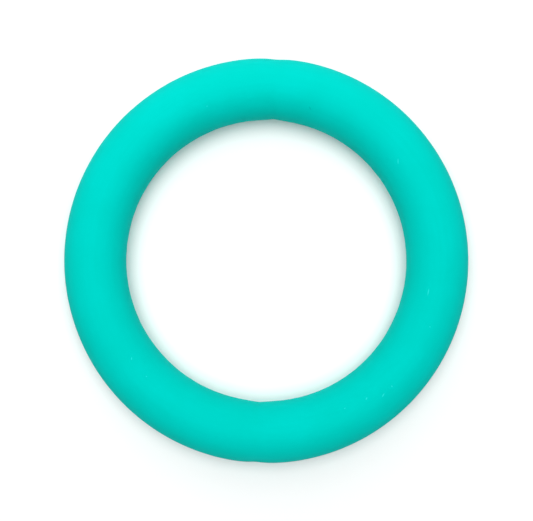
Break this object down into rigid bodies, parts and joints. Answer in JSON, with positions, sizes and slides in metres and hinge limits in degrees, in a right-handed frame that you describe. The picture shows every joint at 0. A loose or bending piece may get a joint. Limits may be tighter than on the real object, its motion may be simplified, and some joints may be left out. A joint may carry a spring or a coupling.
{
  "type": "teething ring",
  "caption": "Closed round ring of solid silicone rubber with a round section and two faint waists opposite each other, for a baby to hold and chew.",
  "frame": {"origin": "centre of the ring, on the plane that it rests on", "axes": "+Z is the ring's axis, pointing up from the surface it lies on; the two waists are on the diameter along Y"},
  "size_m": [0.065, 0.0648, 0.0099],
  "materials": {
    "silicone": "matte, with a very fine satin grain"
  },
  "bodies": {
    "root": {"silicone_ring": "silicone"}
  },
  "joints": []
}
